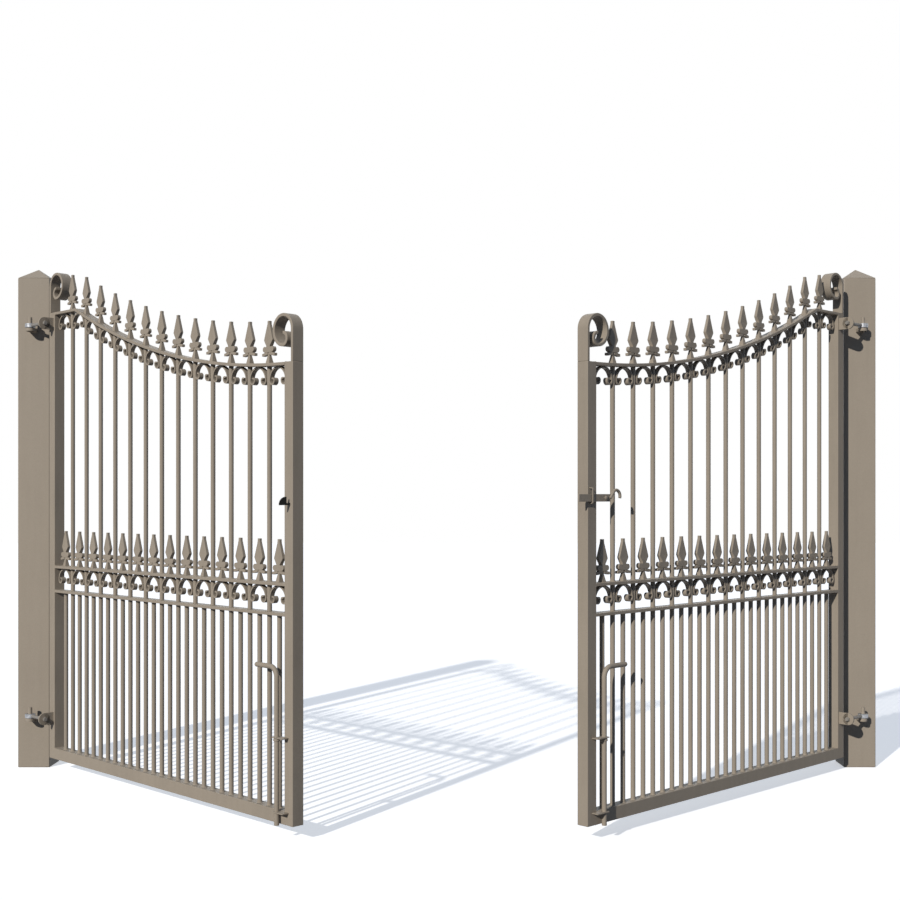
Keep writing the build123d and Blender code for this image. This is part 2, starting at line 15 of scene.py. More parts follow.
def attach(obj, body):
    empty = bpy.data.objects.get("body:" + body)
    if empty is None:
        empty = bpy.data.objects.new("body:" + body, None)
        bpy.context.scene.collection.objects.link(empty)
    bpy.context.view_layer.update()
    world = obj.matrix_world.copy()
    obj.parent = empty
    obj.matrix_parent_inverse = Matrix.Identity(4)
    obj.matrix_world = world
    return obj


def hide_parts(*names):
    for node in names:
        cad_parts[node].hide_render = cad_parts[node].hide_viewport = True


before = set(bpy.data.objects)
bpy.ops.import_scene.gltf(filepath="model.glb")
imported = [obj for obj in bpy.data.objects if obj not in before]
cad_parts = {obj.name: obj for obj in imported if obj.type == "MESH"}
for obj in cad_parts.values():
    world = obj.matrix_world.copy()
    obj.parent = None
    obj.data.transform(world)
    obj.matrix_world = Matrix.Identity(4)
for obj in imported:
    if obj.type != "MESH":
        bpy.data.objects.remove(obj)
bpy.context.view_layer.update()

# %% [markdown]
# ## The camera
# The viewer stands a little right of the middle of the gateway, at shoulder height, and looks
# straight through it. The picture was taken level, so the upright bars stay parallel: a shifted
# lens does that, where a tilted camera would make them lean.

# %% Camera
lens = bpy.data.cameras.new("viewer")
lens.sensor_width = 36.0
lens.lens = 53.245
lens.shift_x = -0.0221
lens.shift_y = 0.0510
lens.clip_end = 100.0
viewer = bpy.data.objects.new("viewer", lens)
viewer.location = (2.0611, -6.3654, 1.28315)
viewer.rotation_euler = (radians(90), 0, 0)
bpy.context.scene.collection.objects.link(viewer)
bpy.context.scene.camera = viewer
print("the viewer's eye is", round(viewer.location.z, 3), "m above the ground")

# %% [markdown]
# ## Sizes that the pieces share
# All lengths are metres. A leaf is drawn closed, in its own plain coordinates: u runs along it
# from the hinge edge, w runs back from its front face, and z is the height above the ground.
# Every length could be typed where it is used, but rails, bars, arches and spear heads have to
# meet, so those that they share are named once and the heights on the sweep are worked out.

# %% Sizes
POST = 0.150
POST_HEIGHT = 2.313
LEAF_WIDTH = 1.850
LEAF_DEPTH = 0.050
STILE = 0.050
PITCH = 0.125
LONG_BARS = 13
BAR_RADIUS = 0.0095
CLEARANCE = 0.064
BOTTOM_RAIL_TOP = 0.114
LOWER_RAIL = (0.8355, 0.8475)
UPPER_RAIL = (0.948, 0.960)
RAIL_LOW = 1.780
RAIL_FLAT = 2.134
RAIL_LEVEL = 0.237
FLAT = 0.012
SPAN = 3.904
PIN_Y = -0.125
PIN_U = -0.097
PIN_W = -0.046
HINGES = (0.253, 2.081)
MIDDLE = LEAF_DEPTH / 2
RAIL_FALL = RAIL_FLAT - RAIL_LOW
RAIL_RADIUS = ((LEAF_WIDTH - RAIL_LEVEL) ** 2 + RAIL_FALL**2) / (2 * RAIL_FALL)


def bar_u(place):
    """Whole places are the long bars, half places the middles of the bays."""
    return STILE + place * PITCH


def rail_z(u):
    """The top of the top rail: level at the hinge side, then a long hollow sweep."""
    sweep = RAIL_LOW + RAIL_RADIUS - sqrt(RAIL_RADIUS**2 - (LEAF_WIDTH - u) ** 2)
    return min(RAIL_FLAT, sweep)


LONG_PLACES = range(1, LONG_BARS + 1)
BAY_PLACES = [place + 0.5 for place in range(LONG_BARS + 1)]
print("the sweep has a radius of", round(RAIL_RADIUS, 3), "m and falls", round(RAIL_FALL, 3), "m")

# %% [markdown]
# ## From a flat drawing to a leaf that stands open
# Both leaves stand open 45 degrees towards the viewer. They could be drawn in that place, but
# slanting coordinates are hard to check. So one matrix turns the closed drawing about the hinge
# pin, and a mirror across the middle of the gateway gives the right-hand leaf.
#
# Spinning and pushing a section along can leave walls inside a piece, where each edge already
# has two faces outside. Those walls are dropped, and then all faces are turned to point outwards.

# %% Places of the two leaves
OPEN_LEFT = (
    Matrix.Translation((0, PIN_Y, 0))
    @ Matrix.Rotation(radians(-45), 4, "Z")
    @ Matrix.Translation((-PIN_U, -PIN_W, 0))
)
FLIP = Matrix.Translation((SPAN, 0, 0)) @ Matrix.Diagonal((-1, 1, 1, 1))
PLACES = {"left": OPEN_LEFT, "right": FLIP @ OPEN_LEFT, "plain": Matrix.Identity(4), "flipped": FLIP}
EASED_FROM = radians(40)


def make_piece(name, shape, place, body, finish, stands_for=(), bevel=0.0, smooth=35.0):
    """Turns a finished bmesh into an object on its body, with its place in its mesh."""
    shape = shape.copy()
    bmesh.ops.transform(shape, matrix=PLACES[place], verts=shape.verts)
    inner = [face for face in shape.faces if all(len(edge.link_faces) > 2 for edge in face.edges)]
    bmesh.ops.delete(shape, geom=inner, context="FACES_ONLY")
    bmesh.ops.recalc_face_normals(shape, faces=shape.faces)
    mesh = bpy.data.meshes.new(name)
    shape.to_mesh(mesh)
    shape.free()
    piece = bpy.data.objects.new(name, mesh)
    bpy.context.scene.collection.objects.link(piece)
    if bevel:
        rounding = piece.modifiers.new("rounded edges", "BEVEL")
        rounding.width = bevel
        rounding.segments = 2
        rounding.limit_method = "ANGLE"
        rounding.angle_limit = EASED_FROM
    mesh.shade_smooth()
    mesh.set_sharp_from_angle(angle=radians(smooth))
    mesh.materials.append(finish)
    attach(piece, body)
    if stands_for:
        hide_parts(*stands_for)
    return piece


def on_both_leaves(name, shape, finish, node=None, bevel=0.0, smooth=35.0):
    """Makes the piece on the left leaf and its mirror image on the right leaf."""
    for side in ("left", "right"):
        nodes = (side + "_" + node,) if node else ()
        make_piece(side + "_" + name, shape, side, side + "_leaf", finish, nodes, bevel, smooth)
    print(name, "has", sum(len(face.verts) - 2 for face in shape.faces), "triangles on each leaf")


# %% [markdown]
# ## Paint
# The gate is sprayed in one warm grey-brown. Outdoors such paint is never one colour: it is
# chalkier where the rain dries, darker where dust sits, and its skin has a fine ripple. One
# flat colour would look like plastic, and an image of paint would show its seams. So a broad
# noise and a streaky one mix three close colours, a fine one adds faint specks, and a still
# finer one gives the ripple. The posts and the dark catch are painted in the same way.


# %% Painted steel
BLOTCH_SIZE, STREAK_SIZE, SPECK_SIZE, RIPPLE_SIZE = 3.2, 1.0, 260.0, 480.0
STREAK_STRETCH = (42.0, 42.0, 3.5)


def add_noise(nodes, scale, detail):
    """A noise texture that still has to be given its coordinates."""
    noise = nodes.new("ShaderNodeTexNoise")
    noise.inputs["Scale"].default_value = scale
    noise.inputs["Detail"].default_value = detail
    return noise


def add_range(nodes, low, high):
    """Spreads a value from zero to one over another range."""
    spread = nodes.new("ShaderNodeMapRange")
    spread.inputs["To Min"].default_value = low
    spread.inputs["To Max"].default_value = high
    return spread


def painted(name, light, middle, dark, roughness=0.5, specular=0.12):
    """A weathered paint: blotches, faint streaks that run down, fine specks and a rippled skin."""
    material = bpy.data.materials.new(name)
    material.use_nodes = True
    nodes, links = material.node_tree.nodes, material.node_tree.links
    skin = nodes["Principled BSDF"]
    skin.inputs["Specular IOR Level"].default_value = specular
    place = nodes.new("ShaderNodeTexCoord")

    blotch = add_noise(nodes, BLOTCH_SIZE, 6.0)
    blotch.inputs["Roughness"].default_value = 0.62
    links.new(place.outputs["Object"], blotch.inputs["Vector"])
    stretch = nodes.new("ShaderNodeMapping")
    stretch.inputs["Scale"].default_value = STREAK_STRETCH
    links.new(place.outputs["Object"], stretch.inputs["Vector"])
    streak = add_noise(nodes, STREAK_SIZE, 4.0)
    links.new(stretch.outputs["Vector"], streak.inputs["Vector"])
    weather = nodes.new("ShaderNodeMix")
    weather.data_type = "FLOAT"
    weather.inputs[0].default_value = 0.35
    links.new(blotch.outputs["Fac"], weather.inputs[2])
    links.new(streak.outputs["Fac"], weather.inputs[3])

    colour = nodes.new("ShaderNodeValToRGB")
    colour.color_ramp.elements[0].position = 0.30
    colour.color_ramp.elements[0].color = (*dark, 1)
    colour.color_ramp.elements[1].position = 0.72
    colour.color_ramp.elements[1].color = (*light, 1)
    between = colour.color_ramp.elements.new(0.50)
    between.color = (*middle, 1)
    links.new(weather.outputs[0], colour.inputs["Fac"])

    speck = add_noise(nodes, SPECK_SIZE, 2.0)
    links.new(place.outputs["Object"], speck.inputs["Vector"])
    grit = add_range(nodes, 0.97, 1.02)
    grit.inputs["From Min"].default_value = 0.35
    grit.inputs["From Max"].default_value = 0.65
    links.new(speck.outputs["Fac"], grit.inputs["Value"])
    dusted = nodes.new("ShaderNodeMix")
    dusted.data_type = "RGBA"
    dusted.blend_type = "MULTIPLY"
    dusted.inputs[0].default_value = 1.0
    links.new(colour.outputs["Color"], dusted.inputs[6])
    links.new(grit.outputs["Result"], dusted.inputs[7])
    links.new(dusted.outputs[2], skin.inputs["Base Color"])

    shine = add_range(nodes, roughness - 0.10, roughness + 0.14)
    links.new(blotch.outputs["Fac"], shine.inputs["Value"])
    links.new(shine.outputs["Result"], skin.inputs["Roughness"])
    ripple = add_noise(nodes, RIPPLE_SIZE, 1.0)
    links.new(place.outputs["Object"], ripple.inputs["Vector"])
    relief = nodes.new("ShaderNodeBump")
    relief.inputs["Strength"].default_value = 0.12
    relief.inputs["Distance"].default_value = 0.0002
    links.new(ripple.outputs["Fac"], relief.inputs["Height"])
    links.new(relief.outputs["Normal"], skin.inputs["Normal"])
    return material


paint = painted("gate paint", (0.34, 0.292, 0.235), (0.315, 0.27, 0.216), (0.28, 0.24, 0.193))
post_paint = painted("post paint", (0.345, 0.297, 0.24), (0.33, 0.284, 0.229), (0.312, 0.268, 0.216))
black = painted(
    "near-black catch",
    (0.014, 0.013, 0.012),
    (0.009, 0.009, 0.008),
    (0.006, 0.006, 0.006),
    roughness=0.6,
    specular=0.15,
)
dull_steel = painted(
    "dull steel",
    (0.27, 0.25, 0.22),
    (0.22, 0.205, 0.185),
    (0.16, 0.15, 0.14),
    specular=0.5,
)
print("paints:", paint.name, "-", post_paint.name, "-", black.name, "-", dull_steel.name)

# %% [markdown]
# ## Zinc
# The hinge eyes are bare galvanised steel, brighter than their shanks and nuts, which have gone
# dull. Zinc freezes in flat crystals, each of which reflects a little differently. A noise has
# soft clouds, where Voronoi cells have flat fields with clear edges, as those spangles do.

# %% Galvanised steel
zinc = bpy.data.materials.new("galvanised steel")
zinc.use_nodes = True
nodes, links = zinc.node_tree.nodes, zinc.node_tree.links
skin = nodes["Principled BSDF"]
skin.inputs["Metallic"].default_value = 0.85
place = nodes.new("ShaderNodeTexCoord")
crystal = nodes.new("ShaderNodeTexVoronoi")
crystal.inputs["Scale"].default_value = 160.0
links.new(place.outputs["Object"], crystal.inputs["Vector"])
spangle = nodes.new("ShaderNodeValToRGB")
spangle.color_ramp.elements[0].color = (0.22, 0.23, 0.25, 1)
spangle.color_ramp.elements[1].color = (0.40, 0.41, 0.43, 1)
links.new(crystal.outputs["Color"], spangle.inputs["Fac"])
links.new(spangle.outputs["Color"], skin.inputs["Base Color"])
dull = add_range(nodes, 0.34, 0.55)
links.new(crystal.outputs["Distance"], dull.inputs["Value"])
links.new(dull.outputs["Result"], skin.inputs["Roughness"])
grain = nodes.new("ShaderNodeBump")
grain.inputs["Strength"].default_value = 0.15
grain.inputs["Distance"].default_value = 0.0003
links.new(crystal.outputs["Distance"], grain.inputs["Height"])
links.new(grain.outputs["Normal"], skin.inputs["Normal"])

# %% [markdown]
# ## Solids that stay as they are
# The latch plate and the catch are plain cut plates. They could be drawn again, but their exact
# solids already have the right shape, so those stay in view and only get a finish. The catch is
# given a nearly black colour.

# %% Finish of the exact solids
for name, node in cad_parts.items():
    node.data.materials.clear()
    node.data.materials.append(post_paint if "post" in name or "hinge_pins" in name else paint)
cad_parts["latch_catch"].data.materials[0] = black

# %% [markdown]
# ## Tools for bars, blocks and strips
# Nearly everything on this gate is a bar, a block or a bent strip, so a few small helpers make
# those. A bent strip starts as one rectangle, which is pushed along straight runs and spun
# round the bends, as a smith pulls a flat bar round a scroll form. Rows of like pieces are drawn
# one by one and joined.


# %% Helpers
def add_rod(shape, radius, start, end, sides=24, far_radius=None):
    """A round bar between two points; another radius at the far end makes it a cone."""
    start, end = Vector(start), Vector(end)
    along = end - start
    turn = along.to_track_quat("Z", "Y").to_matrix().to_4x4()
    bmesh.ops.create_cone(
        shape,
        cap_ends=True,
        segments=sides,
        radius1=radius,
        radius2=radius if far_radius is None else far_radius,
        depth=along.length,
        matrix=Matrix.Translation((start + end) / 2) @ turn,
    )


def add_block(shape, low, high):
    """A block between its lowest and highest corner."""
    low, high = Vector(low), Vector(high)
    size = Matrix.Diagonal((*(high - low), 1))
    bmesh.ops.create_cube(shape, size=1, matrix=Matrix.Translation((low + high) / 2) @ size)


def begin_strip(shape, corners):
    """The first cross-section of a strip, as one face."""
    return [shape.faces.new([shape.verts.new(corner) for corner in corners])]


def run_straight(shape, section, move):
    """Pushes the last section along a straight run and returns the new one."""
    made = bmesh.ops.extrude_face_region(shape, geom=section)["geom"]
    verts = [item for item in made if isinstance(item, bmesh.types.BMVert)]
    bmesh.ops.translate(shape, verts=verts, vec=move)
    return [item for item in made if isinstance(item, bmesh.types.BMFace)]


def run_bend(shape, section, centre, turned, steps):
    """Spins the last section about an axis across the leaf and returns the new one."""
    made = bmesh.ops.spin(
        shape,
        geom=section,
        cent=(centre[0], 0, centre[1]),
        axis=(0, 1, 0),
        angle=radians(turned),
        steps=steps,
        use_merge=False,
        use_duplicate=False,
    )["geom_last"]
    return [item for item in made if isinstance(item, bmesh.types.BMFace)]


def join(target, part):
    """Adds a finished bmesh to another one."""
    mesh = bpy.data.meshes.new("spare")
    part.to_mesh(mesh)
    part.free()
    target.from_mesh(mesh)
    bpy.data.meshes.remove(mesh)


# %% [markdown]
# ## Posts
# Each post is a square steel tube with a low pyramid on top. It could be drawn hollow, but the
# cap closes it, so a block looks the same. A rolled tube never has sharp corners, so the block
# gets a small rounding down its edges, which catches a thin light line. The pyramid is a cone
# with four sides.

# %% Posts and caps
CAP_RISE, CAP_POINT = 0.050, 0.002
post = bmesh.new()
add_block(post, (-POST / 2, -POST / 2, 0), (POST / 2, POST / 2, POST_HEIGHT))
cap = bmesh.new()
foot, point = (0, 0, POST_HEIGHT), (0, 0, POST_HEIGHT + CAP_RISE)
add_rod(cap, POST / 2 * sqrt(2), foot, point, sides=4, far_radius=CAP_POINT * sqrt(2))
bmesh.ops.rotate(cap, verts=cap.verts, cent=(0, 0, 0), matrix=Matrix.Rotation(radians(45), 3, "Z"))
POST_EASE, CAP_EASE = 0.004, 0.0015
for side, place in (("left", "plain"), ("right", "flipped")):
    nodes = (side + "_post",)
    make_piece(side + "_post_tube", post, place, "posts", post_paint, nodes, POST_EASE)
    nodes = (side + "_post_cap",)
    make_piece(side + "_cap", cap, place, "posts", post_paint, nodes, CAP_EASE, smooth=20)
print("a post is", round(POST_HEIGHT + CAP_RISE, 3), "m high with its cap")

# %% [markdown]
# ## Stiles that end in a scroll
# The outer wall of each stile runs on upwards as a heavy flat strip, bends over the leaf in
# three quarters of a circle and finishes in a tighter half circle inside. The box below is
# closed level with the top rail. A curve with a flat profile would do as well, but it can twist
# and thin where it turns tightly, and a section that is spun round a centre keeps its size.


# %% Stiles
SCROLL_STRIP = 0.012
SCROLL_RISE = 0.120
SCROLL_RADIUS = 0.062
CURL_IN_RADIUS = 0.029


def make_stile(top):
    """A stile drawn with its outer edge at u = 0 and its scroll turned over the leaf."""
    shape = bmesh.new()
    add_block(shape, (0, 0, CLEARANCE), (STILE, LEAF_DEPTH, top))
    centre = (SCROLL_RADIUS, top + SCROLL_RISE)
    curl = (SCROLL_RADIUS, centre[1] - SCROLL_RADIUS + CURL_IN_RADIUS)
    corners = ((0, 0), (SCROLL_STRIP, 0), (SCROLL_STRIP, LEAF_DEPTH), (0, LEAF_DEPTH))
    section = begin_strip(shape, [(u, w, top) for u, w in corners])
    section = run_straight(shape, section, (0, 0, SCROLL_RISE))
    section = run_bend(shape, section, centre, 270, steps=54)
    run_bend(shape, section, curl, 180, steps=26)
    return shape


hanging = make_stile(RAIL_FLAT)
meeting = make_stile(rail_z(LEAF_WIDTH - STILE))
turn_round = Matrix.Translation((LEAF_WIDTH, 0, 0)) @ Matrix.Diagonal((-1, 1, 1, 1))
bmesh.ops.transform(meeting, matrix=turn_round, verts=meeting.verts)
STILE_EASE = 0.0016
on_both_leaves("hanging_stile_scroll", hanging, paint, "hanging_stile", STILE_EASE)
on_both_leaves("meeting_stile_scroll", meeting, paint, "meeting_stile", STILE_EASE)

# %% [markdown]
# ## Rails
# The bottom rail is a box and the two middle ones are flats. Plain blocks have the right form,
# but their edges would look cut with a knife, so they are slightly eased, and a bead of weld
# closes each end against the stile.

# %% Rails
INNER_END = LEAF_WIDTH - STILE
SWEEP_CENTRE = (LEAF_WIDTH, RAIL_LOW + RAIL_RADIUS)
BEAD = 0.0022
BEAD_INSET = 0.003
OVERLAP = 0.002
RAIL_EASE = 0.0012


def add_beads(shape, ends):
    """A bead of weld across the leaf at each of the given places."""
    for u, z in ends:
        add_rod(shape, BEAD, (u, BEAD_INSET, z), (u, LEAF_DEPTH - BEAD_INSET, z), sides=10)


for name, low, high in (
    ("bottom_rail", CLEARANCE, BOTTOM_RAIL_TOP),
    ("lower_mid_rail", *LOWER_RAIL),
    ("upper_mid_rail", *UPPER_RAIL),
):
    rail = bmesh.new()
    add_block(rail, (STILE - OVERLAP, 0, low), (INNER_END + OVERLAP, LEAF_DEPTH, high))
    add_beads(rail, [(u, z) for u in (STILE, INNER_END) for z in (low, high)])
    on_both_leaves(name + "_bar", rail, paint, name, RAIL_EASE)

# %% [markdown]
# ## The swept top rail
# The top rail is one flat that runs level for a short way and then falls in a long hollow
# sweep. A block that is bent by a modifier only comes near an arc. Here the section is pushed
# along the level and then spun about the centre of the sweep, high above the meeting edge,
# which gives the arc exactly. The corner under its one kink is moved, so that the joint is mitred.

# %% The swept top rail
sweep = bmesh.new()
top, under = RAIL_FLAT, RAIL_FLAT - FLAT
corners = ((0, top), (0, under), (LEAF_DEPTH, under), (LEAF_DEPTH, top))
section = begin_strip(sweep, [(STILE, w, z) for w, z in corners])
section = run_straight(sweep, section, (RAIL_LEVEL - STILE, 0, 0))
under_kink = LEAF_WIDTH - sqrt((RAIL_RADIUS + FLAT) ** 2 - (SWEEP_CENTRE[1] - under) ** 2)
for vert in section[0].verts:
    if vert.co.z < top - FLAT / 2:
        vert.co.x = under_kink
into_stile = STILE - 2 * OVERLAP
turn = asin((LEAF_WIDTH - RAIL_LEVEL) / RAIL_RADIUS) - asin(into_stile / RAIL_RADIUS)
run_bend(sweep, section, SWEEP_CENTRE, -degrees(turn), steps=48)
low_end = rail_z(INNER_END)
add_beads(sweep, [(STILE, top), (STILE, under), (INNER_END, low_end), (INNER_END, low_end - FLAT)])
on_both_leaves("top_rail_sweep", sweep, paint, "top_rail", RAIL_EASE, smooth=20)

# %% [markdown]
# ## Bars
# Round bars run from the bottom rail up to the lower middle rail, and the long ones on through
# both middle rails to the top rail. One bar could be repeated by an Array modifier, but each
# long bar has a length of its own, so one small function makes them all. Where a bar meets a
# rail there is a small bead of weld under the paint, a low cone round the bar.

# %% Long bars and short bars
WELD_HEIGHT = 0.0035
WELD_WIDE, WELD_NARROW = 0.0125, 0.0097


def add_bar(shape, u, top, welds):
    """A round bar up from the bottom rail, with a bead of weld at each of the given heights."""
    add_rod(shape, BAR_RADIUS, (u, MIDDLE, BOTTOM_RAIL_TOP - OVERLAP), (u, MIDDLE, top))
    for height, away in welds:
        weld_end = (u, MIDDLE, height + away * WELD_HEIGHT)
        add_rod(shape, WELD_WIDE, (u, MIDDLE, height), weld_end, sides=16, far_radius=WELD_NARROW)


short_welds = ((BOTTOM_RAIL_TOP, 1), (LOWER_RAIL[0], -1))
long_welds = (*short_welds, (UPPER_RAIL[1], 1))
bars = bmesh.new()
for place in LONG_PLACES:
    u = bar_u(place)
    add_bar(bars, u, rail_z(u) - FLAT / 2, long_welds)
short_bars = bmesh.new()
for place in BAY_PLACES:
    add_bar(short_bars, bar_u(place), LOWER_RAIL[0] + OVERLAP, short_welds)
on_both_leaves("round_bars", bars, paint, "long_bars")
on_both_leaves("round_dog_bars", short_bars, paint, "dog_bars")

# %% [markdown]
# ## Spear heads
# Each head is one casting: a foot that tapers up, a collar with two round lobes and two
# flicked fingers that lie along the leaf, and a blade that is broad along the leaf and thin
# across it. Sculpting or subdividing would round off its crisp planes. So the blade starts as a
# small rectangle that is raised and resized level by level: each row of its list gives a
# height, a width and a depth.


# %% One spear head
def add_levels(shape, levels):
    """A column given as height, width along the leaf and depth across it, from level to level."""
    height, width, depth = levels[0]
    corners = ((-1, -1), (1, -1), (1, 1), (-1, 1))
    section = begin_strip(shape, [(x * width / 2, y * depth / 2, height) for x, y in corners])
    for next_height, next_width, next_depth in levels[1:]:
        section = run_straight(shape, section, (0, 0, next_height - height))
        change = (next_width / width, next_depth / depth, 1)
        bmesh.ops.scale(shape, verts=section[0].verts[:], vec=change)
        height, width, depth = next_height, next_width, next_depth


FLICK_ROOT, FLICK_FRONT = 0.004, 0.0076
FLICK_LOW, FLICK_HIGH = 0.0332, 0.0472
FLICK_MOVES = ((0.015, -0.0042, 0.92), (0.011, -0.0030, 0.90), (0.009, -0.0002, 0.86))
NARROWER = 0.97


def add_flick(shape, way):
    """A tapered finger that leaves the collar sloping down and turns up again at its tip."""
    root, front, low, high = way * FLICK_ROOT, FLICK_FRONT, FLICK_LOW, FLICK_HIGH
    corners = [(root, -front, low), (root, front, low), (root, front, high), (root, -front, high)]
    section = begin_strip(shape, corners)
    for out, down, thinner in FLICK_MOVES:
        section = run_straight(shape, section, (way * out, 0, down))
        middle = Matrix.Translation(-section[0].calc_center_median())
        change = (1, NARROWER, thinner)
        bmesh.ops.scale(shape, verts=section[0].verts[:], vec=change, space=middle)


FOOT_WIDE = (0.0256, 0.0250)
NECK = [(0.033, 0.0100, 0.0096), (0.046, 0.0100, 0.0096)]
BLADE = [
    (0.0560, 0.0215, 0.0150),
    (0.0670, 0.0225, 0.0172),
    (0.0865, 0.0514, 0.0140),
    (0.0890, 0.0526, 0.0136),
    (0.0915, 0.0518, 0.0136),
    (0.1460, 0.0148, 0.0120),
    (0.1500, 0.0122, 0.0117),
    (0.1610, 0.0118, 0.0115),
]
LOBE_RADIUS, LOBE_OUT, LOBE_FRONT, LOBE_LEVEL = 0.0108, 0.0225, 0.0080, 0.0530
COLLAR_LOW, COLLAR_HIGH = (-0.0215, -0.0082, 0.0405), (0.0215, 0.0082, 0.0628)


def make_spear(foot):
    """A spear head on its seat at the origin, with its foot run down by that much."""
    shape = bmesh.new()
    add_levels(shape, [(-foot, *FOOT_WIDE), *NECK])
    add_levels(shape, BLADE)
    for way in (-1, 1):
        lobe = way * LOBE_OUT
        add_rod(shape, LOBE_RADIUS, (lobe, -LOBE_FRONT, LOBE_LEVEL), (lobe, LOBE_FRONT, LOBE_LEVEL))
        add_flick(shape, way)
    add_block(shape, COLLAR_LOW, COLLAR_HIGH)
    return shape


def place_spear(target, u, seat, foot):
    """Adds a spear head to a row."""
    spear = make_spear(foot)
    bmesh.ops.translate(spear, verts=spear.verts, vec=(u, MIDDLE, seat))
    join(target, spear)


# %% [markdown]
# ## Two rows of spear heads
# Thirteen heads stand over the long bars and fourteen over the bays of the upper middle rail.
# On the sweep the uphill edge of a foot stands on the rail and its downhill edge would float.
# The foot could be cut along the slope, but it is simpler to run it down into the rail, which
# hides the cut.

# %% Rows on the top rail and on the upper middle rail
FOOT_HALF = 0.0105
FOOT_SUNK = 0.005
SPEAR_EASE = 0.0011
top_row = bmesh.new()
for place in LONG_PLACES:
    u = bar_u(place)
    uphill, downhill = rail_z(u - FOOT_HALF), rail_z(u + FOOT_HALF)
    place_spear(top_row, u, uphill, uphill - downhill + FOOT_SUNK)
middle_row = bmesh.new()
for place in BAY_PLACES:
    place_spear(middle_row, bar_u(place), UPPER_RAIL[1], FOOT_SUNK)
on_both_leaves("top_spear_row", top_row, paint, "top_spears", SPEAR_EASE)
on_both_leaves("middle_spear_row", middle_row, paint, "mid_spears", SPEAR_EASE)

# %% [markdown]
# ## Arches between the bars
# A thin strip is bent into a horseshoe under each rail, and its two feet curl inwards in
# small scrolls. Only half of it is drawn, with three spins round three centres, and mirrored,
# so that both feet are alike. Under the sweeping rail each horseshoe is pushed out of square
# with the slope. Turning it would lean its sides, and pushed it keeps them upright by the bars.

# %% One arch
ARCH_RADIUS = (PITCH - 2 * BAR_RADIUS) / 2 - 0.0001
STRIP = 0.006
STRIP_WIDE = 0.020
FRONT, BACK = MIDDLE - STRIP_WIDE / 2, MIDDLE + STRIP_WIDE / 2
FOOT_RADIUS, CURL_RADIUS = 0.017, 0.0115


def make_arch():
    """Half an arch from its crown to the curl at its foot, then the mirror image of it."""
    shape = bmesh.new()
    corners = ((FRONT, 0), (FRONT, -STRIP), (BACK, -STRIP), (BACK, 0))
    section = begin_strip(shape, [(0, w, z) for w, z in corners])
    section = run_bend(shape, section, (0, -ARCH_RADIUS), 90, steps=12)
    foot_u = ARCH_RADIUS - FOOT_RADIUS
    section = run_bend(shape, section, (foot_u, -ARCH_RADIUS), 180, steps=14)
    curl_u = ARCH_RADIUS - 2 * FOOT_RADIUS + CURL_RADIUS
    run_bend(shape, section, (curl_u, -ARCH_RADIUS), 130, steps=10)
    crown = [face for face in shape.faces if all(abs(vert.co.x) < 1e-6 for vert in face.verts)]
    bmesh.ops.delete(shape, geom=crown, context="FACES_ONLY")
    everything = shape.verts[:] + shape.edges[:] + shape.faces[:]
    bmesh.ops.mirror(shape, geom=everything, axis="X", merge_dist=1e-5)
    return shape


def place_arch(target, u, crown, slope):
    """Hangs an arch by its crown and pushes it down along the slope of its rail."""
    arch = make_arch()
    lean = Matrix.Identity(4)
    lean[2][0] = -slope
    bmesh.ops.transform(arch, matrix=Matrix.Translation((u, 0, crown)) @ lean, verts=arch.verts)
    join(target, arch)


# %% [markdown]
# ## Hanging the arches
# The sweep bends away from a straight slope, so an arch touches the rail a little beside its
# crown. Hung by the crown alone it would cut into the rail. So each one is tried at many places
# along its back and hung where it first touches.


# %% Rows of arches
def underside(u):
    """The underside of the top rail, a sweep of its own that lies one flat lower."""
    sweep = RAIL_LOW + RAIL_RADIUS - sqrt((RAIL_RADIUS + FLAT) ** 2 - (LEAF_WIDTH - u) ** 2)
    return min(RAIL_FLAT - FLAT, sweep)


def rail_slope(u):
    """How steeply the rail falls over a bay; the bays that start on the level hang square."""
    if underside(u - ARCH_RADIUS) >= RAIL_FLAT - FLAT:
        return 0.0
    reach = 0.0005
    return (underside(u - reach) - underside(u + reach)) / (2 * reach)


def crown_height(u, slope):
    """The height of the crown at which an arch just touches the rail."""
    heights = []
    for turn in range(-90, 91, 6):
        x = ARCH_RADIUS * sin(radians(turn))
        z = ARCH_RADIUS * cos(radians(turn)) - ARCH_RADIUS - slope * x
        heights.append(underside(u + x) - z)
    return min(heights)


top_arches = bmesh.new()
for place in BAY_PLACES:
    u = bar_u(place)
    slope = rail_slope(u)
    place_arch(top_arches, u, crown_height(u, slope), slope)
middle_arches = bmesh.new()
for place in BAY_PLACES:
    place_arch(middle_arches, bar_u(place), UPPER_RAIL[0], 0.0)
on_both_leaves("top_arch_row", top_arches, paint, "top_arches")
on_both_leaves("middle_arch_row", middle_arches, paint, "mid_arches")

# %% [markdown]
# ## Hinges
# A galvanised eye turns on a pin that stands on a block at the front of each post. Its threaded
# shank passes through a round-ended plate on the stile, held by a nut on each side, so that the
# leaf can be set level. The eye could be a rod with a hole cut by a boolean, which leaves uneven
# faces, so its section is spun once round instead. Nuts are six-sided rods with cut corners.


# %% Rings and nuts
RING_EASE = 0.0012
NUT_CUT = 0.002
NUT_NARROW = 0.88


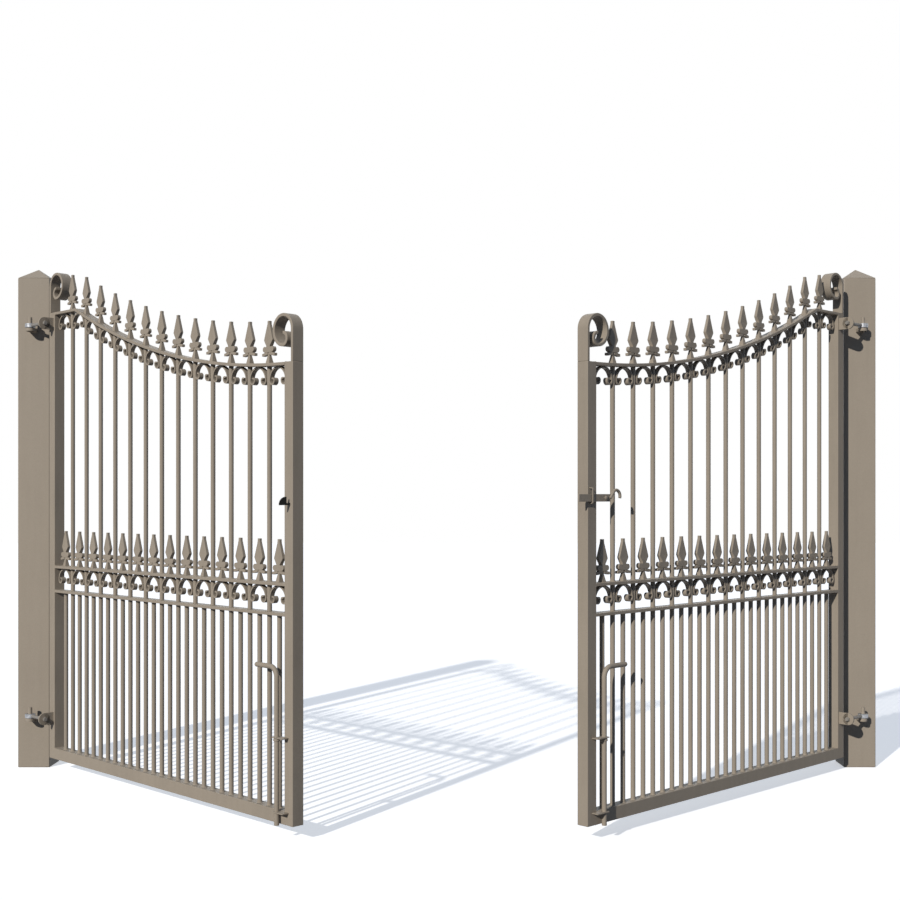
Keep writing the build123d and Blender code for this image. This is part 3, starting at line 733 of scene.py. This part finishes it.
def add_ring(shape, outer, inner, centre, height, steps=48):
    """A flat ring with eased edges: its section is spun about the upright through its centre."""
    shoulder, top = outer - RING_EASE, height - RING_EASE
    corners = [(inner, 0), (shoulder, 0), (outer, RING_EASE)]
    corners += [(outer, top), (shoulder, height), (inner, height)]
    verts = [shape.verts.new((centre[0] + r, centre[1], centre[2] + z)) for r, z in corners]
    section = [shape.faces.new(verts)]
    bmesh.ops.spin(
        shape,
        geom=section,
        cent=centre,
        axis=(0, 0, 1),
        angle=radians(360),
        steps=steps,
        use_merge=True,
        use_duplicate=False,
    )
    sections = [face for face in shape.faces if len(face.verts) == len(corners)]
    bmesh.ops.delete(shape, geom=sections, context="FACES_ONLY")
    bmesh.ops.remove_doubles(shape, verts=shape.verts, dist=1e-6)


def add_nut(shape, across, start, end):
    """A six-sided nut with its outer corners cut off."""
    start, end = Vector(start), Vector(end)
    cut = (end - start).normalized() * NUT_CUT
    corner = across / sqrt(3)
    add_rod(shape, corner, start + cut, end - cut, sides=6)
    narrow = corner * NUT_NARROW
    add_rod(shape, narrow, start, start + cut, sides=6, far_radius=corner)
    add_rod(shape, corner, end - cut, end, sides=6, far_radius=narrow)


# %% [markdown]
# ## Eyes and threads
# A thread is a ridge that climbs round the shank. It could be spun with a rise, but so fine a
# thread looks the same as a row of separate ridges, which are easier to keep closed.

# %% Eyes, shanks and nuts
EYE_RADIUS, EYE_BORE, EYE_HEIGHT = 0.0235, 0.00905, 0.019
SHANK_RADIUS, SHANK_END = 0.0078, 0.0555
THREAD_RADIUS, THREAD_START, THREAD_PITCH, THREAD_TURNS = 0.0082, -0.0035, 0.0012, 48
INNER_NUT = (0.0205, 0.0210, 0.0338)
OUTER_NUT = (0.0190, 0.0422, 0.0510)
eyes = bmesh.new()
shanks = bmesh.new()
nuts = bmesh.new()
for height in HINGES:
    add_ring(eyes, EYE_RADIUS, EYE_BORE, (PIN_U, PIN_W, height - EYE_HEIGHT / 2), EYE_HEIGHT)
    in_eye = PIN_U + EYE_RADIUS - OVERLAP / 2
    add_rod(shanks, SHANK_RADIUS, (in_eye, PIN_W, height), (SHANK_END, PIN_W, height), sides=32)
    for turn in range(THREAD_TURNS):
        along = THREAD_START + turn * THREAD_PITCH
        ridge_end = along + THREAD_PITCH / 2
        add_rod(shanks, THREAD_RADIUS, (along, PIN_W, height), (ridge_end, PIN_W, height))
    for across, near, far in (INNER_NUT, OUTER_NUT):
        add_nut(nuts, across, (near, PIN_W, height), (far, PIN_W, height))
on_both_leaves("eye_rings", eyes, zinc, "hinge_eyes")
on_both_leaves("eye_shanks", shanks, dull_steel, smooth=25)
on_both_leaves("shank_nuts", nuts, dull_steel, smooth=25)

# %% [markdown]
# ## Pins
# The eye sits on a round-nosed block in front of the post, and the pin stands up through it.
# The nose is a disc as wide as the block, laid over its end, which is simpler than rounding two
# corners of the block. The pin ends in a short cone, as a turned pin does.

# %% Pins
PIN_RADIUS, PIN_TOP_RADIUS = 0.009, 0.0072
PIN_RISE, PIN_POINT = 0.0478, 0.0015
SEAT_HALF, SEAT_THICK, SEAT_GAP = 0.019, 0.016, 0.0003
pins = bmesh.new()
for height in HINGES:
    seat = height - EYE_HEIGHT / 2 - SEAT_GAP
    cone = seat + PIN_RISE
    add_block(pins, (-SEAT_HALF, PIN_Y, seat - SEAT_THICK), (SEAT_HALF, -POST / 2, seat))
    add_rod(pins, SEAT_HALF, (0, PIN_Y, seat - SEAT_THICK), (0, PIN_Y, seat), sides=40)
    add_rod(pins, PIN_RADIUS, (0, PIN_Y, seat - OVERLAP), (0, PIN_Y, cone), sides=32)
    tip = (0, PIN_Y, cone + PIN_POINT)
    add_rod(pins, PIN_RADIUS, (0, PIN_Y, cone), tip, sides=32, far_radius=PIN_TOP_RADIUS)
PIN_EASE = 0.0008
for side, place in (("left", "plain"), ("right", "flipped")):
    nodes = (side + "_hinge_pins",)
    make_piece(side + "_pins", pins, place, "posts", post_paint, nodes, PIN_EASE)
print("the pins stand at heights of", HINGES, "m")

# %% [markdown]
# ## Hinge plates
# A thick plate stands out from the face of the stile and holds the shank. Bevelling the corners
# of a block that far would leave short, uneven sides, and the nose has to show as one clean
# curve, so it is a disc joined to a block. A bead of weld runs down each side.

# %% Plates
PLATE_HALF = 0.0275
PLATE_NEAR, PLATE_FAR = 0.034, 0.042
PLATE_BEAD_IN, PLATE_BEAD_W = 0.0005, -0.0012
PLATE_EASE = 0.0006
plates = bmesh.new()
for height in HINGES:
    low, high = height - PLATE_HALF, height + PLATE_HALF
    add_rod(plates, PLATE_HALF, (PLATE_NEAR, PIN_W, height), (PLATE_FAR, PIN_W, height), sides=56)
    add_block(plates, (PLATE_NEAR, PIN_W, low), (PLATE_FAR, 0.0, high))
    for u in (PLATE_NEAR + PLATE_BEAD_IN, PLATE_FAR - PLATE_BEAD_IN):
        bead_low, bead_high = low + PLATE_BEAD_IN, high - PLATE_BEAD_IN
        add_rod(plates, BEAD, (u, PLATE_BEAD_W, bead_low), (u, PLATE_BEAD_W, bead_high), sides=10)
on_both_leaves("round_plates", plates, paint, "hinge_plates", PLATE_EASE)

# %% [markdown]
# ## Drop bolts
# A round bar slides down into the ground to hold each leaf. Its top is bent over as a handle
# with a rounded end, and a small stop collar sits under the upper guide. A thick curve would
# give the bar too. A circle that is pushed up, spun round the bend and pushed on gives the same
# with all its rings square to the bar, and a ball closes its end.

# %% Bolt rods
BOLT_U, BOLT_W, BOLT_RADIUS = 1.774, -0.016, 0.0095
BOLT_FOOT, BOLT_TOP = 0.061, 0.648
BOLT_BEND, BOLT_REACH = 0.038, 0.132
STOP_RADIUS, STOP_SHOULDER = 0.0125, 0.0116
STOP_LOW, STOP_HIGH, STOP_EASE = 0.3740, 0.3830, 0.0005
bolt = bmesh.new()
made = bmesh.ops.create_circle(bolt, cap_ends=True, segments=28, radius=BOLT_RADIUS)
bmesh.ops.translate(bolt, verts=made["verts"], vec=(BOLT_U, BOLT_W, BOLT_FOOT))
section = run_straight(bolt, bolt.faces[:], (0, 0, BOLT_TOP - BOLT_BEND - BOLT_FOOT))
section = run_bend(bolt, section, (BOLT_U - BOLT_BEND, BOLT_TOP - BOLT_BEND), -90, steps=14)
run_straight(bolt, section, (-(BOLT_REACH - BOLT_BEND - BOLT_RADIUS), 0, 0))
end = Matrix.Translation((BOLT_U - BOLT_REACH + BOLT_RADIUS, BOLT_W, BOLT_TOP))
end = end @ Matrix.Rotation(radians(90), 4, "Y")
bmesh.ops.create_uvsphere(bolt, u_segments=28, v_segments=16, radius=BOLT_RADIUS, matrix=end)
for radius, ease in ((STOP_RADIUS, STOP_EASE), (STOP_SHOULDER, 0.0)):
    low, high = (BOLT_U, BOLT_W, STOP_LOW + ease), (BOLT_U, BOLT_W, STOP_HIGH - ease)
    add_rod(bolt, radius, low, high, sides=32)
for side in ("left", "right"):
    make_piece(side + "_bolt_rod", bolt, side, side + "_drop_bolt", paint, (side + "_drop_bolt",))
print("a raised bolt hangs", BOLT_FOOT, "m above the ground")

# %% [markdown]
# ## Guides of the bolts
# Each guide is a thin plate with a round hole, in which the bolt slides. A boolean would cut
# the hole but leave long thin faces round it. So the hole and the four-sided rim are walked round
# together, in steps of ten degrees and at the four corners, and the flat ring between them is
# then given its thickness.

# %% Guides
GUIDE_HOLE, GUIDE_THICKNESS = BOLT_RADIUS + 0.0006, 0.004
GUIDE_TOPS = (0.113, 0.390)
GUIDE_MARGIN = 0.0135
GUIDE_EASE = 0.0005
GUIDE_LOW = (BOLT_U - GUIDE_MARGIN, BOLT_W - GUIDE_MARGIN)
GUIDE_HIGH = (1.826, 0.0)
guides = bmesh.new()
turns = [radians(turn) for turn in range(-177, 180, 10)]
for u in (GUIDE_LOW[0], GUIDE_HIGH[0]):
    turns += [atan2(w - BOLT_W, u - BOLT_U) for w in (GUIDE_LOW[1], GUIDE_HIGH[1])]
turns.sort()
for top in GUIDE_TOPS:
    rings = []
    for turn in turns:
        u, w = cos(turn), sin(turn)
        to_side = ((GUIDE_HIGH[0] if u > 0 else GUIDE_LOW[0]) - BOLT_U) / u
        to_face = ((GUIDE_HIGH[1] if w > 0 else GUIDE_LOW[1]) - BOLT_W) / w
        rim = min(to_side, to_face)
        inner = guides.verts.new((BOLT_U + u * GUIDE_HOLE, BOLT_W + w * GUIDE_HOLE, top))
        rings.append((inner, guides.verts.new((BOLT_U + u * rim, BOLT_W + w * rim, top))))
    flat = [
        guides.faces.new((near[0], near[1], far[1], far[0]))
        for near, far in zip(rings, rings[1:] + rings[:1])
    ]
    made = bmesh.ops.extrude_face_region(guides, geom=flat, use_keep_orig=True)["geom"]
    lower = [item for item in made if isinstance(item, bmesh.types.BMVert)]
    bmesh.ops.translate(guides, verts=lower, vec=(0, 0, -GUIDE_THICKNESS))
on_both_leaves("guide_plates", guides, paint, "bolt_guides", GUIDE_EASE, smooth=30)

# %% [markdown]
# ## The latch
# A flat lever lies across both stiles and turns on a rivet near its tail. It is lifted inside a
# staple on the right leaf, and it drops behind the ramp of a catch on the left leaf. The lever
# is cut from flat bar, so an eased block has its form. Its handle is a round bar bent like a
# walking stick, and a spun circle follows that bend more closely than a few straight pieces.

# %% Lever and handle
LATCH_Z = 1.276
LEVER_HALF, LEVER_EASE = 0.014, 0.0010
LEVER_LOW = (1.732, -0.012, LATCH_Z - LEVER_HALF)
LEVER_HIGH = (1.913, -0.006, LATCH_Z + LEVER_HALF)
HANDLE_RADIUS = 0.0060
HANDLE_ROOT = Vector((1.7350, -0.0115, LATCH_Z - 0.002))
HANDLE_LEAN, HANDLE_RISE, HANDLE_CROOK, HANDLE_BENT = 40, 0.030, 0.0225, 158
lever = bmesh.new()
add_block(lever, LEVER_LOW, LEVER_HIGH)
across, up = -sin(radians(HANDLE_LEAN)), cos(radians(HANDLE_LEAN))
top = (HANDLE_ROOT.x + across * HANDLE_RISE, HANDLE_ROOT.z + up * HANDLE_RISE)
handle = bmesh.new()
made = bmesh.ops.create_circle(handle, cap_ends=True, segments=24, radius=HANDLE_RADIUS)
turn = Matrix.Translation(HANDLE_ROOT) @ Matrix.Rotation(-radians(HANDLE_LEAN), 4, "Y")
bmesh.ops.transform(handle, matrix=turn, verts=made["verts"])
section = run_straight(handle, handle.faces[:], (across * HANDLE_RISE, 0, up * HANDLE_RISE))
crook_centre = (top[0] - up * HANDLE_CROOK, top[1] + across * HANDLE_CROOK)
run_bend(handle, section, crook_centre, -HANDLE_BENT, steps=24)
make_piece("lever_plate", lever, "right", "latch_lever", paint, ("latch_lever",), LEVER_EASE)
make_piece("lever_handle", handle, "right", "latch_lever", paint)
print("the handle leans", HANDLE_LEAN, "degrees and is bent", HANDLE_BENT, "degrees round")

# %% [markdown]
# ## Staple and rivet
# The staple is a thin strip bent twice. It is bent along the leaf first, where bends are easy
# to draw, and then turned to stand out from the stile. The rivet head is a flattened ball.

# %% Staple and rivet
STAPLE_U, STAPLE_HALF, STAPLE_OUT = 1.838, 0.004, 0.0175
STAPLE_LOW, STAPLE_HIGH = 1.2545, 1.3145
STAPLE_THICK, STAPLE_BEND, STAPLE_EASE = 0.0035, 0.0030, 0.0005
corner = STAPLE_THICK + STAPLE_BEND
arm = STAPLE_OUT - corner
inside = STAPLE_LOW + STAPLE_THICK
corners = ((-1, STAPLE_LOW), (1, STAPLE_LOW), (1, inside), (-1, inside))
staple = bmesh.new()
section = begin_strip(staple, [(0, way * STAPLE_HALF, z) for way, z in corners])
section = run_straight(staple, section, (arm, 0, 0))
section = run_bend(staple, section, (arm, STAPLE_LOW + corner), -90, steps=5)
section = run_straight(staple, section, (0, 0, STAPLE_HIGH - STAPLE_LOW - 2 * corner))
section = run_bend(staple, section, (arm, STAPLE_HIGH - corner), -90, steps=5)
run_straight(staple, section, (-arm, 0, 0))
outwards = Matrix.Translation((STAPLE_U, 0, 0)) @ Matrix.Rotation(radians(-90), 4, "Z")
bmesh.ops.transform(staple, matrix=outwards, verts=staple.verts)
make_piece("staple_strap", staple, "right", "right_leaf", paint, ("latch_staple",), STAPLE_EASE)

RIVET_RADIUS, RIVET_FLATTENED = 0.0085, 0.42
RIVET_PLACE = (1.759, -0.0140, LATCH_Z)
rivet = bmesh.new()
bmesh.ops.create_uvsphere(rivet, u_segments=28, v_segments=12, radius=RIVET_RADIUS)
bmesh.ops.scale(rivet, verts=rivet.verts, vec=(1, RIVET_FLATTENED, 1))
bmesh.ops.translate(rivet, verts=rivet.verts, vec=RIVET_PLACE)
make_piece("rivet_head", rivet, "right", "right_leaf", paint)

# %% [markdown]
# ## Floor and surround
# A plain pale floor and a white surround keep the eye on the gate. What the viewer sees, or
# sees mirrored in metal, is white; all other light from below and around is as weak as it is
# from dark ground and a blue sky, so that the shaded sides stay dark and a little cool.


# %% Floor and world
def seen_rays(nodes, links):
    """One for what the viewer sees directly, or mirrored in metal, and zero for all other light."""
    ray = nodes.new("ShaderNodeLightPath")
    seen = nodes.new("ShaderNodeMath")
    seen.operation = "MAXIMUM"
    links.new(ray.outputs["Is Camera Ray"], seen.inputs[0])
    links.new(ray.outputs["Is Glossy Ray"], seen.inputs[1])
    return seen.outputs[0]


FLOOR_REACH = 30.0
ground = bmesh.new()
bmesh.ops.create_grid(ground, x_segments=1, y_segments=1, size=FLOOR_REACH)
ground_mesh = bpy.data.meshes.new("floor")
ground.to_mesh(ground_mesh)
ground.free()
floor = bpy.data.objects.new("floor", ground_mesh)
bpy.context.scene.collection.objects.link(floor)
pale = bpy.data.materials.new("pale floor")
pale.use_nodes = True
nodes, links = pale.node_tree.nodes, pale.node_tree.links
tarmac = nodes["Principled BSDF"]
tarmac.inputs["Base Color"].default_value = (0.10, 0.10, 0.11, 1)
tarmac.inputs["Roughness"].default_value = 1.0
paper = nodes.new("ShaderNodeBsdfDiffuse")
paper.inputs["Color"].default_value = (0.86, 0.86, 0.87, 1)
lift = nodes.new("ShaderNodeEmission")
lift.inputs["Color"].default_value = (1, 1, 1, 1)
lift.inputs["Strength"].default_value = 0.50
bright = nodes.new("ShaderNodeAddShader")
links.new(paper.outputs[0], bright.inputs[0])
links.new(lift.outputs[0], bright.inputs[1])
choice = nodes.new("ShaderNodeMixShader")
links.new(seen_rays(nodes, links), choice.inputs["Fac"])
links.new(tarmac.outputs[0], choice.inputs[1])
links.new(bright.outputs[0], choice.inputs[2])
links.new(choice.outputs[0], nodes["Material Output"].inputs["Surface"])
floor.data.materials.append(pale)

world = bpy.data.worlds.new("surround")
bpy.context.scene.world = world
world.use_nodes = True
nodes, links = world.node_tree.nodes, world.node_tree.links
sky = nodes["Background"]
sky.inputs["Color"].default_value = (0.36, 0.60, 1.0, 1)
sky.inputs["Strength"].default_value = 0.20
white = nodes.new("ShaderNodeBackground")
white.inputs["Color"].default_value = (1, 1, 1, 1)
white.inputs["Strength"].default_value = 1.0
mix = nodes.new("ShaderNodeMixShader")
links.new(seen_rays(nodes, links), mix.inputs["Fac"])
links.new(sky.outputs[0], mix.inputs[1])
links.new(white.outputs[0], mix.inputs[2])
links.new(mix.outputs[0], nodes["World Output"].inputs["Surface"])

# %% [markdown]
# ## Light
# A low sun in front, to the upper left, makes the left-hand leaf bright and leaves most of the
# right-hand one in shade. A broad, weak and bluish light from behind stands for the open sky
# there and lifts the sides that the sun misses.

# %% Two lights
SUN_FROM = Vector((-0.425, -0.77, 0.45))
SKY_FROM = Vector((0.25, 0.90, 0.30))
sun = bpy.data.lights.new("low sun", "SUN")
sun.energy = 3.35
sun.angle = radians(1.0)
sun.color = (1.0, 0.96, 0.90)
sunlight = bpy.data.objects.new("low sun", sun)
sunlight.rotation_euler = SUN_FROM.to_track_quat("Z", "Y").to_euler()
bpy.context.scene.collection.objects.link(sunlight)

skylight = bpy.data.lights.new("sky behind", "SUN")
skylight.energy = 0.84
skylight.angle = radians(80)
skylight.color = (0.80, 0.90, 1.0)
behind = bpy.data.objects.new("sky behind", skylight)
behind.rotation_euler = SKY_FROM.to_track_quat("Z", "Y").to_euler()
bpy.context.scene.collection.objects.link(behind)

bpy.context.scene.view_settings.view_transform = "Standard"
print("the sun stands", round(degrees(asin(SUN_FROM.normalized().z))), "degrees high")
